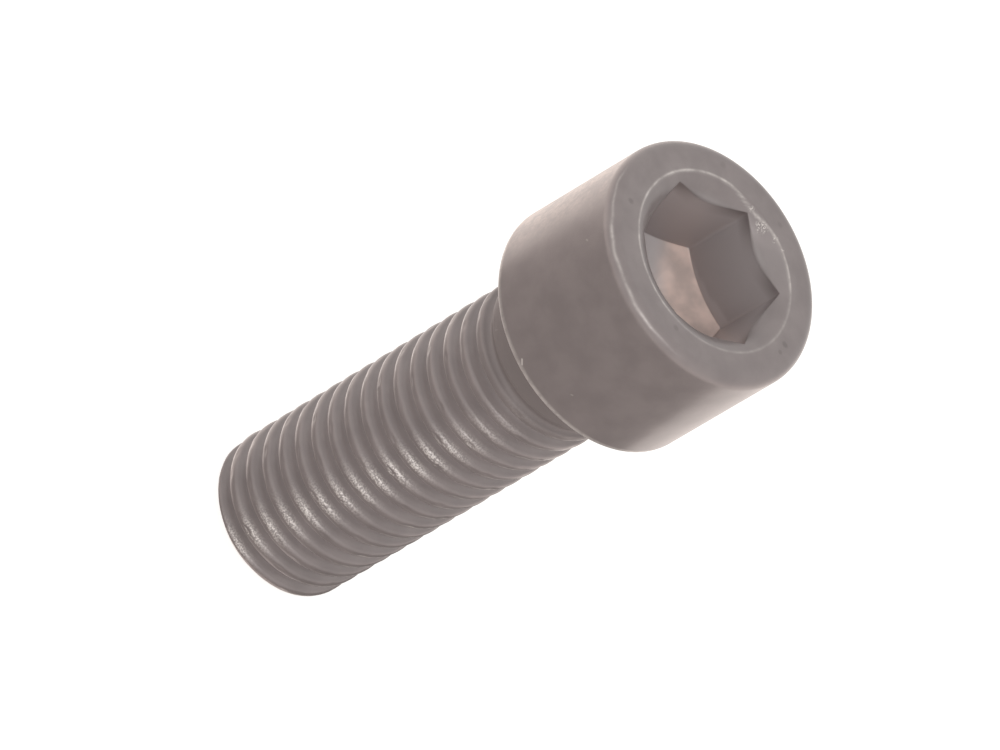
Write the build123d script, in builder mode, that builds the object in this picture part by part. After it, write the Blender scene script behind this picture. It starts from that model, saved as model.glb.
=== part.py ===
from build123d import *
import math
import os

# Hex socket head cap screw, M12 x 1.75 x 35, threaded up to the head, in
# millimetres. The bearing face under the head is the plane z = 0, the head is
# above it and the shank runs down to the tip, on which the screw stands.

# Thread
thread_diameter = 11.90  # over the crests of an M12 thread
pitch = 1.75
flank_angle = 60.0  # between the two flanks of a groove
root_flat = pitch / 4  # width of the flat bottom of the groove
root_height = 0.5413 * pitch  # from crest to the bottom of the groove
groove_phase = -0.456  # height of the groove on the +X side, give or take whole pitches

# Shank
length = 34.20  # bearing face to tip, a 35 mm screw near the short end of its tolerance
tip_chamfer = 1.05
tip_face_diameter = 9.80
full_thread = -4.40  # the groove has its full depth from here down
neck_start = -2.60  # and has run out on the plain neck here
neck_step = 0.05  # the neck stands this much proud of the crests all round
neck_fillet = 0.60

# Head
head_diameter = 17.80
head_height = 12.00
rim_round = 0.90  # rounded edge round the top face
under_edge = 0.25  # broken edge round the bearing face

# Socket
across_flats = 10.15
socket_depth = 6.40  # from the top face to where a corner meets the cone below
mouth_diameter = 13.10
mouth_corner_depth = 0.30  # the rounded mouth, at a corner of the hexagon
mouth_wall_depth = 1.14  # and at the middle of a wall
point_angle = 120.0  # the cone that the punch leaves at the bottom
point_flat = 1.20  # the blunt end of that cone

# Sizes that follow from these
crest_r = thread_diameter / 2
root_r = crest_r - root_height
neck_r = crest_r + neck_step
head_r = head_diameter / 2
tip_r = tip_face_diameter / 2
mouth_r = mouth_diameter / 2
wall_r = across_flats / 2
corner_r = wall_r / math.cos(math.pi / 6)
point_slope = 1 / math.tan(math.radians(point_angle / 2))
corner_z = head_height - socket_depth
point_z = corner_z - (corner_r - point_flat / 2) * point_slope

# The groove's outline. Its flanks go a little past the crest, so that no skin
# is left, and its turns still stay clear of each other.
flank_end = root_height + 0.07
groove_half = root_flat / 2 + flank_end * math.tan(math.radians(flank_angle / 2))
groove_reach = root_height + 0.50

# The rod is made longer than the shank and trimmed afterwards. Its groove has
# whole turns, from inside the head to below the tip.
groove_turns = math.ceil((length + groove_phase) / pitch + 1)
rod_top = 2.0
rod_bottom = groove_phase - (groove_turns + 2) * pitch
chamfer_slope = tip_chamfer / (crest_r - tip_r)
run_out_slope = (neck_start - full_thread) / (neck_r - root_r)
run_out_sink = 0.50
trim = 3.0  # how far the trimming outlines go past what they trim

# The head with its neck: one turned outline, which goes down inside the rod as
# the cone on which the groove runs out, and ends below the bottom of the groove.
with BuildPart() as head:
    with BuildSketch(Plane.XZ) as outline:
        with BuildLine():
            Polyline(
                (0, full_thread - run_out_sink * run_out_slope),
                (root_r - run_out_sink, full_thread - run_out_sink * run_out_slope),
                (neck_r, neck_start),
                (neck_r, 0),
                (head_r, 0),
                (head_r, head_height),
                (0, head_height),
                close=True,
            )
        make_face()
        fillet(outline.vertices().group_by(Axis.Y)[-1].sort_by(Axis.X)[-1], rim_round)
        chamfer(outline.vertices().filter_by(lambda v: v.Y == 0).sort_by(Axis.X)[-1], under_edge)
        fillet(outline.vertices().filter_by(lambda v: v.Y == 0).sort_by(Axis.X)[0], neck_fillet)
    revolve(axis=Axis.Z)

# The space in the head: six walls down to a blunt cone.
with BuildPart() as socket:
    with BuildSketch(Plane.XY.offset(point_z)):
        RegularPolygon(corner_r, 6)
    extrude(amount=head_height - point_z)
    with BuildSketch(Plane.XZ):
        with BuildLine():
            Polyline(
                (0, point_z),
                (point_flat / 2, point_z),
                (corner_r + trim, corner_z + trim * point_slope),
                (corner_r + trim, head_height + trim),
                (0, head_height + trim),
                close=True,
            )
        make_face()
    revolve(axis=Axis.Z, mode=Mode.INTERSECT)

# Its rounded mouth, turned.
with BuildPart() as mouth:
    with BuildSketch(Plane.XZ):
        with BuildLine():
            ThreePointArc(
                (mouth_r, head_height),
                (corner_r, head_height - mouth_corner_depth),
                (wall_r, head_height - mouth_wall_depth),
            )
            Polyline(
                (wall_r, head_height - mouth_wall_depth),
                (0, head_height - mouth_wall_depth),
                (0, head_height + trim),
                (mouth_r, head_height + trim),
                (mouth_r, head_height),
            )
        make_face()
    revolve(axis=Axis.Z)

# One turn of the right-handed groove: two straight flanks and a flat root.
with BuildPart() as groove:
    with BuildLine() as path:
        Helix(pitch, pitch, root_r)
    with BuildSketch(Plane((root_r, 0, 0), x_dir=(1, 0, 0), z_dir=(0, -1, 0))):
        with BuildLine():
            Polyline(
                (0, -root_flat / 2),
                (flank_end, -groove_half),
                (groove_reach, -groove_half),
                (groove_reach, groove_half),
                (flank_end, groove_half),
                (0, root_flat / 2),
                close=True,
            )
        make_face()
    sweep(path=path.line, is_frenet=True)

with BuildPart() as screw:
    with Locations((0, 0, rod_bottom)):
        Cylinder(crest_r, rod_top - rod_bottom, align=(Align.CENTER, Align.CENTER, Align.MIN))

    # The turns are cut one by one. A groove cut in one run has faces so long
    # that their facets come to four times as many.
    for turn in range(1, groove_turns + 1):
        with Locations((0, 0, groove_phase - turn * pitch)):
            add(groove.part, mode=Mode.SUBTRACT)

    # The tip is cut flat and chamfered through the thread.
    with BuildSketch(Plane.XZ):
        with BuildLine():
            Polyline(
                (0, -length),
                (tip_r, -length),
                (tip_r + trim, -length + trim * chamfer_slope),
                (tip_r + trim, rod_bottom - trim),
                (0, rod_bottom - trim),
                close=True,
            )
        make_face()
    revolve(axis=Axis.Z, mode=Mode.SUBTRACT)

    add(head.part)
    add(socket.part, mode=Mode.SUBTRACT)
    add(mouth.part, mode=Mode.SUBTRACT)

screw.part.label = "screw"
os.makedirs("parts", exist_ok=True)
export_step(screw.part, "parts/screw.step")
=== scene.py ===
import math

import bmesh
import bpy
import numpy as np
from mathutils import Matrix, Vector


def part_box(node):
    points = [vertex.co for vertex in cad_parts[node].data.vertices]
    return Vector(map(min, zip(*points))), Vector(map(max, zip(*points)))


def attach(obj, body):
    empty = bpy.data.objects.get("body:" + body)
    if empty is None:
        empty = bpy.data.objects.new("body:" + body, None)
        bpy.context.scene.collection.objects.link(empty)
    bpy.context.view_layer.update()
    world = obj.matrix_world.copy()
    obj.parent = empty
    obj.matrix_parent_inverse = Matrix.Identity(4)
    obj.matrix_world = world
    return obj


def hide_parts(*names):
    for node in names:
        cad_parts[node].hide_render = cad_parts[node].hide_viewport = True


# A socket head cap screw, M12 x 1.75 x 35, in dark satin steel worn bright on its edges,
# with painted highlights, reflections, fill light and shade in its colour. Its measures are in millimetres and become
# metres when the mesh is made.

MM = 0.001

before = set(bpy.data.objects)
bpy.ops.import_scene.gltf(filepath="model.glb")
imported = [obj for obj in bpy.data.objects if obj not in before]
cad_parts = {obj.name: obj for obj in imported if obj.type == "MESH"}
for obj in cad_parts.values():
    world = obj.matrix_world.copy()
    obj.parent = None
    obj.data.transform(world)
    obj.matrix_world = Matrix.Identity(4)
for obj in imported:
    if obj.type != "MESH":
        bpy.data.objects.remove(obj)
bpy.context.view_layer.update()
low, high = (np.array(corner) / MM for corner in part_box("screw"))

# Measures read from the frame
HEAD_TOP = high[2]
TIP = low[2]
HEAD_R = high[0]

# Thread
PITCH = 1.75
CREST_R = 5.95
CREST_ROUND = 0.50
ROOT_ROUND = 0.10
GROOVE_PHASE = -0.456
FLANK = math.radians(30)
CREST_HALF = CREST_ROUND * math.cos(FLANK)
ROOT_HALF = ROOT_ROUND * math.cos(FLANK)
FLANK_START = CREST_ROUND * (1 - math.sin(FLANK))
FLANK_END = FLANK_START + (PITCH / 2 - ROOT_HALF - CREST_HALF) / math.tan(FLANK)
KNOCK = 0.09
CREST_LINE = 0.104
THREAD_DEPTH = FLANK_END + ROOT_ROUND * (1 - math.sin(FLANK))

# Shank and head
TIP_R = 4.90
TIP_ROUND = 0.10
FULL_THREAD = -5.60
NECK_START = -3.00
NECK_R = 6.00
NECK_FILLET = 0.60
UNDER_EDGE = 0.25
RIM_ROUND = 0.90

# Socket
WALL_R = 5.075
CORNER_R = WALL_R / math.cos(math.pi / 6)
SOCKET_DEPTH = 6.40
MOUTH_R = 6.55
MOUTH_CORNER_DEPTH = 0.30
MOUTH_WALL_DEPTH = 1.14
CONE_SLOPE = 1 / math.tan(math.radians(60))
CONE_FLAT_R = 0.60

# Marks on the surface, each by its middle: pits by their half width, scratches by
# their direction, half length and half width.
PITS = [
    ((-5.08, -5.48, 12.0), 0.26, 0.40),
    ((3.99, -5.95, 12.0), 0.24, 0.30),
    ((-6.37, 4.19, 12.0), 0.30, 0.18),
    ((6.53, 3.34, 12.0), 0.26, 0.45),
    ((6.95, 2.65, 12.0), 0.20, 0.35),
    ((-1.61, 7.24, 12.0), 0.26, 0.20),
    ((-3.04, -5.09, -16.02), 0.22, 0.50),
]
SCRATCHES = [
    ((1.33, -8.80, 0.65), (0.85, 0.13, -0.62), 0.30, 0.10, 0.85),
    ((-3.69, -8.10, 9.46), (0.5, -0.2, 0.6), 0.16, 0.09, 0.25),
    ((4.69, -7.56, 2.60), (0.6, 0.3, 0.5), 0.12, 0.08, 0.30),
    ((-2.23, -5.50, -3.50), (0.3, 0, 1), 0.22, 0.07, 0.30),
]
# Worn patches on the top by the mouth: worn steel broken into sparkles, which also paint the lamp's highlight there.
WORN_GLINT_SPOTS = [
    ((-3.10, 5.40, 11.80), 0.26, 0.9),
    ((-1.75, 5.75, 11.82), 0.50, 1.0),
    ((-0.70, 6.35, 11.95), 0.26, 0.9),
    ((0.10, 6.55, 12.00), 0.22, 0.8),
]

# Mesh
COLUMNS = 192
TURN = np.linspace(0, 2 * math.pi, COLUMNS + 1)


def lathe_rows(radii, heights):
    """A turned stretch: each radius and height of the outline becomes one level row of the grid."""
    r, z = np.asarray(radii, float), np.asarray(heights, float)
    ones = np.ones_like(TURN)
    return r[:, None] * ones, z[:, None] * ones


def ease(x, low, high):
    """0 below low and 1 above high, with a smooth step between them."""
    t = np.clip((x - low) / (high - low), 0, 1)
    return t * t * (3 - 2 * t)


def softer_of(a, b, blend, sign):
    """The lower (sign -1) or higher (sign 1) of two values, rounded off where they are closer than blend."""
    h = np.clip(1 - np.abs(a - b) / blend, 0, 1)
    return np.where(sign * (a - b) > 0, a, b) + sign * h * h * blend / 4


def groove_depth(u):
    """How far the surface lies below the crest, u millimetres along the axis from the middle of a groove.

    The root is an arc, the flanks are straight and 60 degrees apart, and the worn crest is a larger arc."""
    u = np.abs((u + PITCH / 2) % PITCH - PITCH / 2)
    from_crest = PITCH / 2 - u
    root = THREAD_DEPTH - ROOT_ROUND + np.sqrt(np.maximum(ROOT_ROUND**2 - np.minimum(u, ROOT_HALF) ** 2, 0))
    flank = FLANK_START + (from_crest - CREST_HALF) / math.tan(FLANK)
    crest = CREST_ROUND - np.sqrt(np.maximum(CREST_ROUND**2 - np.minimum(from_crest, CREST_HALF) ** 2, 0))
    return np.where(u < ROOT_HALF, root, np.where(from_crest < CREST_HALF, crest, flank))


def knocks(turn, z):
    """Small dents along the crests: the sum of a few sine waves of the angle and the height, where it is low."""
    wave = np.sin(7 * turn + 5.1 * z) + np.sin(13 * turn - 8.3 * z + 1) + np.sin(23 * turn + 3.7 * z + 2)
    return KNOCK * ease(-wave, 0.4, 2.6)


def shank_radius(turn, z):
    """Radius of the shank at an angle and a height: the groove climbs one pitch a turn,
    is cut off by the tip's chamfer below, and runs out on the cone of the neck above."""
    u = z - GROOVE_PHASE - PITCH * turn / (2 * math.pi)
    thread = CREST_R - softer_of(groove_depth(u), knocks(turn, z), 0.08, 1) + 0.02
    chamfer = TIP_R + (z - TIP)
    run_out = NECK_R - (NECK_START - z) * (NECK_R - CREST_R + THREAD_DEPTH) / (NECK_START - FULL_THREAD)
    r = softer_of(thread, chamfer, 0.08, -1)
    r = softer_of(r, np.minimum(run_out, NECK_R), 0.40, 1)
    return softer_of(r, np.full_like(r, NECK_R), 0.12, -1)


def thread_rows():
    """The threaded stretch: rows follow the helix, so each keeps its place on the thread's outline,
    and a row that would leave the shank is held at its end."""
    root = np.array([0, 0.5, 1.0]) * ROOT_HALF
    crest = PITCH / 2 - CREST_ROUND * np.sin(np.radians([60, 50, 38, 25, 12, 4]))
    half = np.concatenate([root, [(root[-1] + crest[0]) / 2], crest])
    knots = np.concatenate([-half[:0:-1], half, [PITCH / 2]])
    start, end = TIP + TIP_ROUND, NECK_START
    first = math.floor((start - GROOVE_PHASE) / PITCH) - 2
    last = math.ceil((end - GROOVE_PHASE) / PITCH) + 2
    base = (GROOVE_PHASE + PITCH * np.arange(first, last)[:, None] + knots).ravel()
    z = np.clip(base[:, None] + PITCH * TURN / (2 * math.pi), start, end)
    return shank_radius(TURN, z), z


def hex_radius():
    """Distance from the axis to the six socket walls at each angle, with corners on the X axis."""
    return WALL_R / np.cos((TURN % (math.pi / 3)) - math.pi / 6)


def mouth_arc(t):
    """The rounded mouth's outline as a circle through its three places: rim, corner and middle of a wall."""
    a = np.array([MOUTH_R, HEAD_TOP])
    b = np.array([CORNER_R, HEAD_TOP - MOUTH_CORNER_DEPTH])
    c = np.array([WALL_R, HEAD_TOP - MOUTH_WALL_DEPTH])
    m = 2 * np.array([b - a, c - a])
    centre = np.linalg.solve(m, [b @ b - a @ a, c @ c - a @ a])
    radius = np.linalg.norm(a - centre)
    r = MOUTH_R + (t - MOUTH_R)
    return centre[1] + np.sqrt(np.maximum(radius**2 - (r - centre[0]) ** 2, 0))


def socket_rows():
    """From the rim of the mouth inwards: the turned mouth down to each wall, the wall, and the blunt cone."""
    wall = hex_radius()
    share = np.array([0, 0.02, 0.05, 0.1, 0.2, 0.35, 0.5, 0.65, 0.8, 0.92, 1.0])[:, None]
    mouth_r = MOUTH_R + (wall - MOUTH_R) * share
    mouth_z = mouth_arc(mouth_r)
    cone_top = HEAD_TOP - SOCKET_DEPTH - (CORNER_R - wall) * CONE_SLOPE
    point_z = HEAD_TOP - SOCKET_DEPTH - (CORNER_R - CONE_FLAT_R) * CONE_SLOPE
    down = np.array([0.012, 0.04, 0.2, 0.4, 0.6, 0.72, 0.78, 0.83, 0.88, 0.93, 0.97, 0.992, 1.0])[:, None]
    wall_z = mouth_z[-1] + (cone_top - mouth_z[-1]) * down
    wall_r = wall + 0 * wall_z
    inward = np.array([0.015, 0.05, 0.2, 0.4, 0.6, 0.8, 0.97, 1.0])[:, None]
    cone_r = wall + (CONE_FLAT_R - wall) * inward
    cone_z = cone_top + (point_z - cone_top) * inward
    end_r, end_z = lathe_rows([CONE_FLAT_R * 0.9, 0], [point_z, point_z])
    return np.vstack([mouth_r, wall_r, cone_r, end_r]), np.vstack([mouth_z, wall_z, cone_z, end_z])


def arc_rows(centre_r, centre_z, radius, start, end, count):
    """A turned quarter or part of a circle, from one angle to another in degrees."""
    a = np.radians(np.linspace(start, end, count))
    return lathe_rows(centre_r + radius * np.cos(a), centre_z + radius * np.sin(a))


def tip_rows():
    """The flat tip from its centre out to the chamfer, with a small round between them."""
    z = TIP + TIP_ROUND * np.array([0, 0, 0, 0, 0, 0.12, 0.45, 1.0])
    share = np.array([0, 0.3, 0.6, 0.85, 0.97, 1, 1, 1])
    inset = np.array([0, 0, 0, 0, 0.10, 0.06, 0.02, 0])
    edge = shank_radius(TURN, z[:, None] + 0 * TURN)
    return (edge - inset[:, None]) * share[:, None], z[:, None] + 0 * TURN


def body_rows():
    """The whole outside and inside of the screw in one run, from the middle of the tip to the middle of the socket."""
    edge = np.array([0.03, 0.0])
    neck = lathe_rows([NECK_R - 0.01, NECK_R, NECK_R], [NECK_START + 0.5, -1.3, -NECK_FILLET - 0.05])
    fillet_ = arc_rows(NECK_R + NECK_FILLET, -NECK_FILLET, NECK_FILLET, 180, 90, 9)
    bearing = lathe_rows([6.7, 7.6, HEAD_R - UNDER_EDGE - 0.05], [0, 0, 0])
    under = lathe_rows(
        [HEAD_R - UNDER_EDGE, HEAD_R - 0.17, HEAD_R - 0.08, HEAD_R - 0.01, HEAD_R, HEAD_R],
        [0.015, 0.07, 0.17, 0.28, 0.36, 0.6],
    )
    rim_z = HEAD_TOP - RIM_ROUND
    side = lathe_rows([HEAD_R] * 6, np.linspace(1.2, rim_z - 0.15, 6))
    rim = arc_rows(HEAD_R - RIM_ROUND, rim_z, RIM_ROUND, 0, 90, 25)
    top = lathe_rows([HEAD_R - RIM_ROUND - 0.1, 7.3, MOUTH_R + 0.12, MOUTH_R + 0.06, MOUTH_R + 0.02], [HEAD_TOP] * 5)
    parts = [tip_rows(), thread_rows(), neck, fillet_, bearing, under, side, rim, top, socket_rows()]
    return np.vstack([p[0] for p in parts]), np.vstack([p[1] for p in parts])


def wear(r, z):
    """How strongly the crests are painted bright in a band that winds down the front: a painted highlight of the front
    lamp on the upper flanks, broken by a worn grain.
    """
    side = np.degrees(np.arctan2(np.sin(TURN), np.cos(TURN))) + 0 * r
    strength = 0.25 + 0.75 * ease(-z, 5, 15)
    upper_side = np.roll(r, 1, axis=0) > r
    # This painted highlight band turns with the height, following where the lamp's highlight falls on the crests.
    band_middle = -48.5 + 0.91 * z
    band = np.exp(-(((side - band_middle) / 13) ** 2)) * ease(r, CREST_R - 0.42, CREST_R - 0.10)
    return band * ease(-z, 4.1, 5.3) * strength * upper_side


def shine(r, z):
    """How bright the narrow lines are, partly worn polish and partly painted highlight and reflection: along the
    crests at the two sides, and along the edges of the head, the rim and the mouth."""
    side = np.degrees(np.arctan2(np.sin(TURN), np.cos(TURN))) + 0 * r
    on_thread = ease(-z, 4.1, 5.3)
    # Crest lines painted brightest at the two sides seen from the front: a painted reflection of the white room.
    sides = ease(-np.cos(np.radians(side + 76)), -0.85, -0.45)
    broken = 0.75 + 0.25 * np.sin(9 * TURN + 4 * z) * np.sin(31 * TURN - 3 * z)
    above_crest = (z - GROOVE_PHASE - PITCH * TURN / (2 * math.pi)) % PITCH - PITCH / 2
    crest = np.exp(-(((above_crest + CREST_LINE) / 0.05) ** 2)) * (r > CREST_R - 0.1) * sides * on_thread * broken
    edge_left = ease(np.cos(np.radians(side + 165)), 0.60, 0.95)
    edge_right = ease(np.cos(np.radians(side + 45)), 0.50, 0.95)
    # The worn edge under the head, painted brighter at the two sides as a reflection.
    head_edge = ease(r, HEAD_R - 0.20, HEAD_R - 0.05) * (np.abs(z - 0.2) < 0.17)
    head_edge *= 0.45 + 0.45 * edge_left + 0.25 * edge_right
    # The rim line: a worn line on the rim's round, strongest at the front left, which also paints the lamp's highlight
    # there.
    tilt = np.degrees(np.arctan2(z - (HEAD_TOP - RIM_ROUND), r - (HEAD_R - RIM_ROUND)))
    front_left = ease(np.cos(np.radians(side + 100)), 0.55, 0.95)
    line = 44 + 2.5 * np.sin(np.radians(side) * 11) + 1.5 * np.sin(np.radians(side) * 29)
    line_width = 4.5 + 2.5 * ease(np.cos(np.radians(side + 95)), 0.80, 0.98)
    rim = np.exp(-(((tilt - line) / line_width) ** 2)) * (z > HEAD_TOP - RIM_ROUND) * (r > HEAD_R - RIM_ROUND) * front_left
    pulled = MOUTH_R - 0.02 - 0.42 * np.exp(-(((side - 118) / 14) ** 2))
    mouth = np.exp(-(((r - pulled) / 0.09) ** 2)) * (z > HEAD_TOP - 0.25)
    right = ease(np.cos(np.radians(side)), 0.2, 0.8)
    patchy = 0.7 + 0.3 * np.sin(np.radians(side) * 17) * np.sin(np.radians(side) * 7)
    lines = 0.62 * rim + (0.85 - 0.5 * right) * mouth
    return np.clip(1.1 * crest + head_edge + lines * patchy, 0, 1)


def inside(r, z):
    """1 on the walls of the socket and a little at the bottom of the groove: painted fill light that makes these
    hollows paler against their own shade.
    """
    socket = ease(HEAD_TOP - z, 0.5, 1.6) * (r < CORNER_R + 0.01) * (z > 0.5)
    groove = 0.35 * ease(CREST_R - r, 0.35, 0.80) * (z < NECK_START)
    side = np.degrees(TURN) + 0 * r
    above_foot = z - (HEAD_TOP - SOCKET_DEPTH - (CORNER_R - hex_radius()) * CONE_SLOPE)
    # A paler strip at the foot of the far walls: a painted reflection of the lit cone.
    strip = (side > 60) * (side < 120) * ease((120 - side) / 60 - above_foot, -0.08, 0.08) * socket
    # A slightly paler crescent on the mouth towards +Y, part of the same painted fill light.
    crescent = 0.14 * np.exp(-(((side - 88) / 28) ** 2)) * (r < MOUTH_R - 0.1) * (z > HEAD_TOP - MOUTH_WALL_DEPTH - 0.01)
    return np.maximum((0.72 + 0.28 * strip) * socket, crescent) + groove


def mottling(r, z):
    """1 on the two flanks of the head's side that turn away from the front: a painted reflection of the bright room,
    mottled like worn oxide.
    """
    side = np.degrees(np.arctan2(np.sin(TURN), np.cos(TURN))) + 0 * r
    away = np.cos(np.radians(side + 76))
    left = ease(-away, -0.72, 0.0) * (np.sin(np.radians(side + 76)) < 0)
    right = 0.6 * ease(-away, -0.42, 0.1) * (np.sin(np.radians(side + 76)) > 0)
    in_front = ease(away, -0.80, -0.10)
    return (left + right) * in_front * (r > HEAD_R - 0.1) * (z > 0.1) * ease(HEAD_TOP - z, 0.5, 1.2)


def dullness(r, z):
    """1 on the neck and less down the first turns: painted shade under the head, where the steel is also rougher and
    less glossy.
    """
    return ease(z, -7.0, -3.4) * (z < -0.05) * (r < NECK_R + 0.4)


def warmth(r, z):
    """1 on the cone at the bottom of the socket, fading out towards its shaded near part: a browner, lighter rust tint
    laid as a painted pool of light.
    """
    foot = HEAD_TOP - SOCKET_DEPTH - (CORNER_R - hex_radius()) * CONE_SLOPE
    # Strongest where light falls on the cone through the mouth, fading into the shaded near part.
    lit = ease(r * np.sin(TURN) + 0.35 * r * np.cos(TURN), 1.3, 3.2)
    return ((z < foot + 0.01) & (z > 0.6) & (r < CORNER_R)) * lit


def grid_mesh(name, r, z, **paints):
    """A closed skin over the grid: the point in row k at an angle stands at that row's radius and height there.
    Rows that meet are welded, which closes the seam and both poles."""
    x, y = r * np.cos(TURN), r * np.sin(TURN)
    points = np.stack([x, y, z], axis=-1).reshape(-1, 3) * MM
    rows, cols = r.shape
    corner = np.arange(rows * cols).reshape(rows, cols)
    around = [corner[:-1, :-1], corner[:-1, 1:], corner[1:, 1:], corner[1:, :-1]]
    quads = np.stack(around, axis=-1).reshape(-1, 4)
    mesh = bpy.data.meshes.new(name)
    mesh.vertices.add(len(points))
    mesh.vertices.foreach_set("co", points.ravel())
    mesh.loops.add(quads.size)
    mesh.loops.foreach_set("vertex_index", quads.ravel())
    mesh.polygons.add(len(quads))
    mesh.polygons.foreach_set("loop_start", np.arange(len(quads)) * 4)
    for key, values in paints.items():
        layer = mesh.attributes.new(key, "FLOAT", "POINT")
        layer.data.foreach_set("value", np.asarray(values, np.float32).ravel())
    mesh.update(calc_edges=True)
    bm = bmesh.new()
    bm.from_mesh(mesh)
    bmesh.ops.remove_doubles(bm, verts=bm.verts, dist=2e-7)
    bmesh.ops.dissolve_degenerate(bm, dist=1e-8, edges=bm.edges)
    bmesh.ops.recalc_face_normals(bm, faces=bm.faces)
    bm.to_mesh(mesh)
    bm.free()
    mesh.polygons.foreach_set("use_smooth", np.ones(len(mesh.polygons), bool))
    piece = bpy.data.objects.new(name, mesh)
    bpy.context.scene.collection.objects.link(piece)
    return piece


class Nodes:
    """Adds shader nodes to one material in short lines; any value may be a number, a colour or another node's output."""

    def __init__(self, owner):
        owner.use_nodes = True
        self.tree = owner.node_tree
        self.tree.nodes.clear()

    def add(self, kind, settings=None, **inputs):
        n = self.tree.nodes.new("ShaderNode" + kind)
        for key, value in (settings or {}).items():
            setattr(n, key, value)
        for key, value in inputs.items():
            self.set(n, key.replace("_", " "), value)
        return n

    def set(self, n, key, value):
        socket = n.inputs[int(key)] if key.isdigit() else n.inputs[key]
        if isinstance(value, bpy.types.NodeSocket):
            self.tree.links.new(value, socket)
        else:
            socket.default_value = value

    def math(self, operation, *values):
        n = self.add("Math", {"operation": operation})
        for k, value in enumerate(values):
            self.set(n, str(k), value)
        return n.outputs[0]

    def between(self, factor, a, b):
        """Colour a where factor is 0 and colour b where it is 1."""
        n = self.add("Mix", {"data_type": "RGBA"})
        self.set(n, "0", factor)
        self.set(n, "6", a)
        self.set(n, "7", b)
        return n.outputs[2]

    def noise(self, place, scale, detail=3.0, roughness=0.5):
        n = self.add("TexNoise", Vector=place, Scale=scale, Detail=detail, Roughness=roughness)
        return n.outputs["Fac"]

    def ramp(self, value, start, end, to_start=0.0, to_end=1.0):
        n = self.add("MapRange", {"interpolation_type": "SMOOTHSTEP"})
        for key, v in (("Value", value), ("From Min", start), ("From Max", end), ("To Min", to_start), ("To Max", to_end)):
            self.set(n, key, v)
        return n.outputs[0]

    def spot(self, place, middle, half_width, strength, ragged):
        """1 within a small round mark, its middle and half width in millimetres, with a ragged edge."""
        away = self.add("VectorMath", {"operation": "DISTANCE"})
        self.set(away, "0", place)
        self.set(away, "1", Vector(middle) * MM)
        uneven = self.math("ADD", away.outputs["Value"], self.math("MULTIPLY", ragged, half_width * MM))
        return self.ramp(uneven, half_width * MM * 0.8, half_width * MM * 1.7, strength, 0.0)

    def streak(self, place, middle, along, half_length, half_width, strength):
        """1 on a narrow straight scratch, its middle, half length and half width in millimetres."""
        offset = self.add("VectorMath", {"operation": "SUBTRACT"})
        self.set(offset, "0", place)
        self.set(offset, "1", Vector(middle) * MM)
        share = self.add("VectorMath", {"operation": "DOT_PRODUCT"})
        self.set(share, "0", offset.outputs[0])
        self.set(share, "1", Vector(along).normalized())
        length = self.add("VectorMath", {"operation": "LENGTH"})
        self.set(length, "0", offset.outputs[0])
        run = share.outputs["Value"]
        away = self.math("MULTIPLY", length.outputs["Value"], length.outputs["Value"])
        aside = self.math("SQRT", self.math("MAXIMUM", self.math("SUBTRACT", away, self.math("MULTIPLY", run, run)), 0.0))
        narrow = self.ramp(aside, half_width * MM * 0.3, half_width * MM, strength, 0.0)
        short = self.ramp(self.math("ABSOLUTE", run), half_length * MM * 0.6, half_length * MM, 1.0, 0.0)
        return self.math("MULTIPLY", narrow, short)

    def paint(self, name):
        return self.add("Attribute", {"attribute_name": name}).outputs["Fac"]


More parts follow.
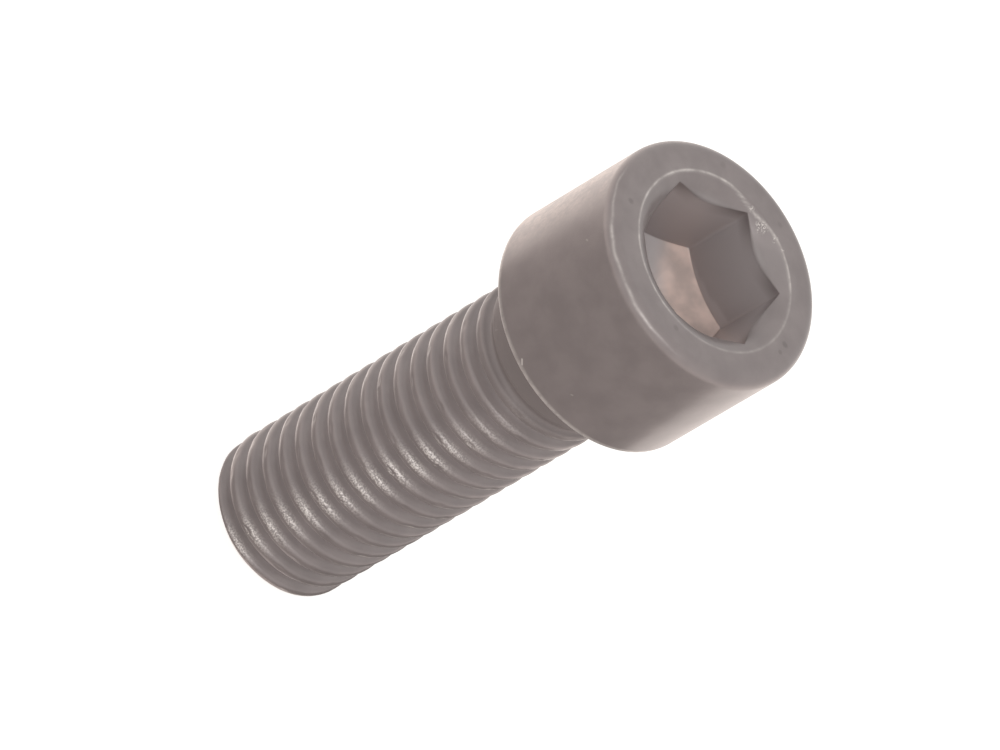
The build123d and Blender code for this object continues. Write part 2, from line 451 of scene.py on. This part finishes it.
def satin_steel():
    """Dark satin steel: soft blotches, bright worn edges broken by a fine grain, which also carry painted highlights
    and reflections, pits and scratches, painted fill light and shade, and a browner socket bottom laid as a painted
    pool of light."""
    m = bpy.data.materials.new("satin_steel")
    n = Nodes(m)
    place = n.add("TexCoord").outputs["Object"]
    blotch = n.noise(place, 500.0, 4.0)
    speck = n.noise(place, 2200.0, 3.0)
    fine_speck = n.noise(place, 3600.0, 4.0, 0.65)
    grain = n.noise(place, 8500.0, 2.0)
    steel = n.between(n.ramp(blotch, 0.3, 0.7), (0.270, 0.229, 0.226, 1), (0.310, 0.264, 0.260, 1))
    # Painted fill light: the socket's walls and the groove bottoms laid in paler against their shade.
    steel = n.between(n.paint("inside"), steel, (0.68, 0.63, 0.63, 1))
    # Rust tint for the cone, laid only where light falls through the mouth: partly a painted pool of light.
    rust = n.between(n.ramp(n.noise(place, 420.0, 3.0), 0.35, 0.65), (0.56, 0.44, 0.40, 1), (0.84, 0.65, 0.58, 1))
    steel = n.between(n.paint("warm"), steel, rust)
    uneven = n.math("MULTIPLY", n.ramp(n.noise(place, 900.0, 3.0), 0.36, 0.64, 0.5, 1.0),
                    n.ramp(fine_speck, 0.38, 0.66, 0.6, 1.1))
    # Painted reflection of the bright room on the head's two flanks, in a mottled tan like worn oxide.
    side_reflection_paint = n.math("MULTIPLY", n.paint("mottling"), uneven)
    steel = n.between(side_reflection_paint, steel, (0.72, 0.58, 0.52, 1))
    # Worn grain, polish, scratches and spots in a pale colour, together with painted highlights and reflections along
    # the crests and edges.
    rubbed_and_highlit = n.math("MULTIPLY", n.paint("wear"), n.ramp(grain, 0.40, 0.60, 0.12, 1.0))
    polish_and_highlight = n.math("MULTIPLY", n.paint("shine"), n.ramp(speck, 0.35, 0.60, 0.6, 1.0))
    rubbed_and_highlit = n.math("MAXIMUM", rubbed_and_highlit, polish_and_highlight)
    for middle, along, half_length, half_width, strength in SCRATCHES:
        rubbed_and_highlit = n.math("MAXIMUM", rubbed_and_highlit, n.streak(place, middle, along, half_length, half_width, strength))
    glint = n.ramp(grain, 0.50, 0.58)
    # Worn spots by the mouth, broken into sparkles: worn steel and a painted highlight together.
    for middle, half_width, strength in WORN_GLINT_SPOTS:
        spot = n.spot(place, middle, half_width, strength, speck)
        rubbed_and_highlit = n.math("MAXIMUM", rubbed_and_highlit, n.math("MULTIPLY", spot, glint))
    colour = n.between(rubbed_and_highlit, steel, (0.80, 0.735, 0.70, 1))
    pitted = 0.0
    for middle, half_width, strength in PITS:
        pitted = n.math("MAXIMUM", pitted, n.spot(place, middle, half_width, strength, speck))
    colour = n.between(pitted, colour, (0.13, 0.11, 0.105, 1))
    # Painted shade under the head: the neck and first turns darkened; the same mask also roughens them and lowers the
    # coat.
    colour = n.between(n.math("MULTIPLY", n.paint("dull"), 0.7), colour, (0.235, 0.204, 0.200, 1))
    rough = n.math("ADD", n.ramp(rubbed_and_highlit, 0.0, 1.0, 0.46, 0.28), n.math("MULTIPLY", n.paint("dull"), 0.16))
    height = n.math("ADD", n.math("MULTIPLY", blotch, 0.6), n.math("MULTIPLY", fine_speck, n.paint("mottling")))
    height = n.math("ADD", height, n.math("MULTIPLY", grain, n.ramp(n.paint("wear"), 0.0, 1.0, 0.3, 1.6)))
    height = n.math("SUBTRACT", height, n.math("MULTIPLY", pitted, 1.2))
    bump = n.add("Bump", Strength=0.35, Distance=0.00005, Height=height)
    skin = n.add("BsdfPrincipled", Metallic=0.5, Roughness=rough, Normal=bump.outputs[0])
    n.set(skin, "Coat Weight", n.ramp(n.paint("dull"), 0.0, 1.0, 0.8, 0.25))
    n.set(skin, "Coat Roughness", 0.28)
    n.set(skin, "Base Color", colour)
    n.add("OutputMaterial", Surface=skin.outputs[0])
    return m


def camera():
    """The photograph's long lens, placed where it sees the screw as the picture does."""
    data = bpy.data.cameras.new("camera")
    data.sensor_width = 36
    data.lens = 36 * 17.11183
    data.clip_start, data.clip_end = 0.1, 10
    cam = bpy.data.objects.new("camera", data)
    right = Vector((0.359828, 0.683523, 0.635075))
    up = Vector((-0.91654, 0.13159, 0.377675))
    back = right.cross(up)
    turn = Matrix((right, up, back)).transposed().to_4x4()
    cam.matrix_world = Matrix.Translation(Vector((198.99467, -821.71894, 761.29792)) * MM) @ turn
    bpy.context.scene.collection.objects.link(cam)
    bpy.context.scene.camera = cam
    return cam


def lamp(name, place, aim, size, watts, colour=(1, 1, 1)):
    """A soft square lamp that faces a point, places in millimetres."""
    data = bpy.data.lights.new(name, "AREA")
    data.size = size * MM
    data.energy = watts
    data.color = colour
    o = bpy.data.objects.new(name, data)
    o.location = Vector(place) * MM
    o.rotation_euler = (Vector(aim) - Vector(place)).to_track_quat("-Z", "Y").to_euler()
    bpy.context.scene.collection.objects.link(o)
    return o


def sheet(name, x0, x1, y0, y1, z):
    """A flat level sheet between two corners, in millimetres."""
    mesh = bpy.data.meshes.new(name)
    corners = np.array([(x0, y0, z), (x1, y0, z), (x1, y1, z), (x0, y1, z)]) * MM
    mesh.from_pydata([tuple(c) for c in corners], [], [(0, 1, 2, 3)])
    o = bpy.data.objects.new(name, mesh)
    bpy.context.scene.collection.objects.link(o)
    return o


def floor():
    """A pale floor at the screw's tip, which keeps its shadow."""
    o = sheet("floor", -600, 600, -600, 600, TIP)
    m = bpy.data.materials.new("pale_floor")
    n = Nodes(m)
    lit = n.add("BsdfDiffuse", Color=(0.50, 0.495, 0.49, 1))
    seen = n.add("LightPath").outputs["Is Camera Ray"]
    glow = n.add("Emission", Color=n.between(seen, (1, 0.90, 0.84, 1), (1, 0.99, 0.97, 1)), Strength=0.80)
    both = n.add("AddShader")
    n.set(both, "0", lit.outputs[0])
    n.set(both, "1", glow.outputs[0])
    n.add("OutputMaterial", Surface=both.outputs[0])
    o.data.materials.append(m)
    return o


def dark_card(name, x0, x1, y0, y1):
    """A grey card flat on the floor in front, out of the camera's sight, which the near side of the steel reflects."""
    o = sheet(name, x0, x1, y0, y1, TIP + 0.05)
    m = bpy.data.materials.new("grey_card")
    n = Nodes(m)
    n.add("OutputMaterial", Surface=n.add("BsdfDiffuse", Color=(0.22, 0.215, 0.215, 1)).outputs[0])
    o.data.materials.append(m)
    o.visible_camera = False
    o.visible_shadow = False
    o.visible_diffuse = False
    return o


def sky():
    """A plain white room all round."""
    w = bpy.data.worlds.new("white_room")
    n = Nodes(w)
    seen = n.add("LightPath").outputs["Is Camera Ray"]
    back = n.add("Background", Color=(1, 0.995, 0.98, 1), Strength=n.ramp(seen, 0.0, 1.0, 0.78, 1.0))
    n.add("OutputWorld", Surface=back.outputs[0])
    bpy.context.scene.world = w


body = body_rows()
screw_body = grid_mesh("screw_body", *body, wear=wear(*body), shine=shine(*body), warm=warmth(*body), inside=inside(*body),
                       mottling=mottling(*body), dull=dullness(*body))
screw_body.data.materials.append(satin_steel())
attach(screw_body, "root")
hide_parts("screw")

camera()
floor()
dark_card("front_card", -60, 130, -200, -6.2)
dark_card("right_card", 6.2, 130, -6.2, 25)
sky()
lamp("front_lamp", (262, -388, 520), (0, 0, -10), 200, 0.33)
bpy.context.scene.view_settings.view_transform = "Standard"
